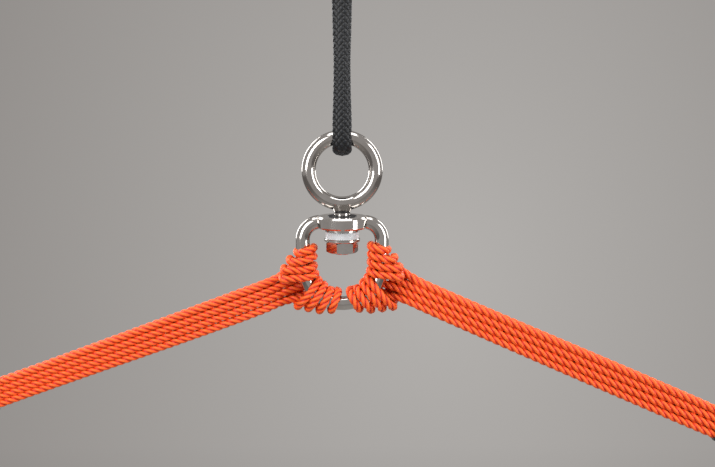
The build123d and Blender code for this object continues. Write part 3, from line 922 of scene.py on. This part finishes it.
@dataclass
class Studio:
    """Camera, lamps, floor and a grey backdrop with a painted pool of light, so that it is darker towards its
    edges.

    The backdrop glows where the camera or a reflection sees it, and its floor keeps part of the shade.
    """

    target: Vector
    elevation: float = 8.0
    distance: float = 1.10
    seen_width: float = 0.407
    floor_z: float = -1.35
    floor_front: float = -4.0
    wall_y: float = 3.4
    wall_top: float = 2.5
    half_width: float = 5.0
    bend: float = 0.5
    bend_steps: int = 12
    glow_height: float = 0.2
    floor_glow: float = 0.7
    # Painted falloff of the light towards the backdrop's edges.
    backdrop: str = "#A9A6A5"
    backdrop_painted_falloff: str = "#918D8A"
    lamps: tuple[Softbox, ...] = (
        Softbox("window_left", -40, 20, 1.5, (0.6, 1.3), 19.0),
        Softbox("window_right", 62, 14, 1.5, (0.5, 1.3), 15.0),
        Softbox("ceiling", 0, 84, 1.8, (1.6, 1.2), 22.0),
        Softbox("edge_left", -140, 15, 1.6, (0.5, 1.2), 12.0),
        Softbox("edge_right", 140, 15, 1.6, (0.4, 1.2), 8.0),
    )

    def build(self) -> None:
        """Makes all of it."""
        scene = bpy.context.scene
        scene.view_settings.view_transform = "Standard"
        rise = math.radians(self.elevation)
        back = Vector((0.0, -math.cos(rise), math.sin(rise)))
        camera = bpy.data.cameras.new("camera")
        camera.sensor_width = 36.0
        camera.lens = camera.sensor_width * self.distance / self.seen_width
        holder = bpy.data.objects.new("camera", camera)
        holder.location = self.target + back * self.distance
        holder.rotation_euler = (-back).to_track_quat("-Z", "Y").to_euler()
        scene.collection.objects.link(holder)
        scene.camera = holder
        for lamp in self.lamps:
            lamp.build(self.target)
        self.world()
        self.sweep()

    def seen(self, tree: bpy.types.NodeTree) -> bpy.types.NodeSocket:
        """One for rays that show the background: from the camera, a reflection or through glass."""
        path = add_node(tree, "ShaderNodeLightPath")
        camera_or_glossy = add_node(
            tree, "ShaderNodeMath", operation="MAXIMUM",
            links={0: path.outputs["Is Camera Ray"], 1: path.outputs["Is Glossy Ray"]},
        )
        either = add_node(
            tree, "ShaderNodeMath", operation="MAXIMUM",
            links={0: camera_or_glossy.outputs["Value"], 1: path.outputs["Is Transmission Ray"]},
        )
        return either.outputs["Value"]

    def world(self) -> None:
        """An even grey room."""
        world = bpy.data.worlds.new("room")
        bpy.context.scene.world = world
        world.use_nodes = True
        tree = world.node_tree
        tree.nodes.clear()
        fill = add_node(tree, "ShaderNodeBackground", values={"Color": linear("#D8D8DA"), "Strength": 0.42})
        shown = add_node(tree, "ShaderNodeBackground", values={"Color": linear(self.backdrop), "Strength": 1.0})
        mixed = add_node(
            tree, "ShaderNodeMixShader",
            links={0: self.seen(tree), 1: fill.outputs["Background"], 2: shown.outputs["Background"]},
        )
        add_node(tree, "ShaderNodeOutputWorld", links={"Surface": mixed.outputs["Shader"]})

    def sweep(self) -> None:
        """A floor that curves up into a wall far behind the part."""
        bend = self.bend
        profile = [(self.floor_front, self.floor_z), (self.wall_y - bend, self.floor_z)]
        for index in range(1, self.bend_steps):
            angle = math.pi / 2 * index / self.bend_steps
            profile.append((
                self.wall_y - bend + bend * math.sin(angle), self.floor_z + bend * (1 - math.cos(angle))
            ))
        profile += [(self.wall_y, self.floor_z + bend), (self.wall_y, self.wall_top)]
        vertices = [(x, y, z) for y, z in profile for x in (-self.half_width, self.half_width)]
        faces = [(2 * k, 2 * k + 1, 2 * k + 3, 2 * k + 2) for k in range(len(profile) - 1)]
        mesh = bpy.data.meshes.new("backdrop")
        mesh.from_pydata(vertices, [], faces)
        mesh.polygons.foreach_set("use_smooth", [True] * len(mesh.polygons))
        piece = bpy.data.objects.new("backdrop", mesh)
        bpy.context.scene.collection.objects.link(piece)
        made = bpy.data.materials.new("backdrop_with_painted_light_pool")
        made.use_nodes = True
        tree = made.node_tree
        tree.nodes.clear()
        place = add_node(tree, "ShaderNodeTexCoord")
        # The backdrop's colour holds a painted pool of light, brightest behind the part and darker towards its
        # edges.
        middle = self.target.z - math.tan(math.radians(self.elevation)) * (self.wall_y - self.target.y)
        centred = add_node(
            tree, "ShaderNodeMapping", links={"Vector": place.outputs["Object"]}, vector_type="TEXTURE",
            values={"Location": (0.22, self.wall_y, middle - 0.1), "Scale": (1.9, 60.0, 2.4)},
        )
        spread = add_node(
            tree, "ShaderNodeTexGradient", links={"Vector": centred.outputs["Vector"]},
            gradient_type="SPHERICAL",
        )
        tint = set_ramp(
            add_node(tree, "ShaderNodeValToRGB", links={"Fac": spread.outputs["Fac"]}),
            [(0.0, "#7A7674"), (0.35, self.backdrop_painted_falloff), (1.0, "#B3B0AD")],
        )
        paint = add_node(
            tree, "ShaderNodeBsdfDiffuse", links={"Color": tint.outputs["Color"]},
        )
        glow = add_node(tree, "ShaderNodeEmission", links={"Color": tint.outputs["Color"]})
        wall_or_floor = add_node(tree, "ShaderNodeSeparateXYZ", links={"Vector": place.outputs["Object"]})
        on_wall = add_node(
            tree, "ShaderNodeMapRange", links={"Value": wall_or_floor.outputs["Z"]},
            values={
                "From Min": self.floor_z, "From Max": self.floor_z + self.glow_height,
                "To Min": self.floor_glow,
            },
        )
        both = add_node(
            tree, "ShaderNodeMath", operation="MULTIPLY",
            links={0: self.seen(tree), 1: on_wall.outputs["Result"]},
        )
        mixed = add_node(
            tree, "ShaderNodeMixShader",
            links={0: both.outputs["Value"], 1: paint.outputs["BSDF"], 2: glow.outputs["Emission"]},
        )
        add_node(tree, "ShaderNodeOutputMaterial", links={"Surface": mixed.outputs["Shader"]})
        mesh.materials.append(made)


def main() -> None:
    """Builds the studio and every sub-assembly, in order."""
    logging.basicConfig(level=logging.INFO, format="%(message)s")
    low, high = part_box("ring_eye")
    ring_radius = (high.x - low.x) / 2
    ring_z = high.z - ring_radius
    bow_low, bow_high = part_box("swivel_bow")
    half_width = (bow_high.x - bow_low.x) / 2 - BOW_BAR_RADIUS
    arc_z = bow_low.z + BOW_BAR_RADIUS + half_width
    Studio(target=Vector((0.0087, 0.0, ring_z - 0.0362))).build()
    HangingRope(ring_z=ring_z).build()
    Swivel().build()
    left = SlingRoute(Side.LEFT, 207.0, 20.0, 0.193, half_width, arc_z, row_spread=(1.12, 0.9))
    right = SlingRoute(Side.RIGHT, 200.0, 23.5, 0.214, half_width, arc_z, row_spread=(0.98, 1.12))
    CordSling(left, "left", 2.40).build()
    CordSling(right, "right", 2.565, LaidCord(diameter=0.0047, lay=0.0146)).build()


if __name__ == "__main__":
    main()
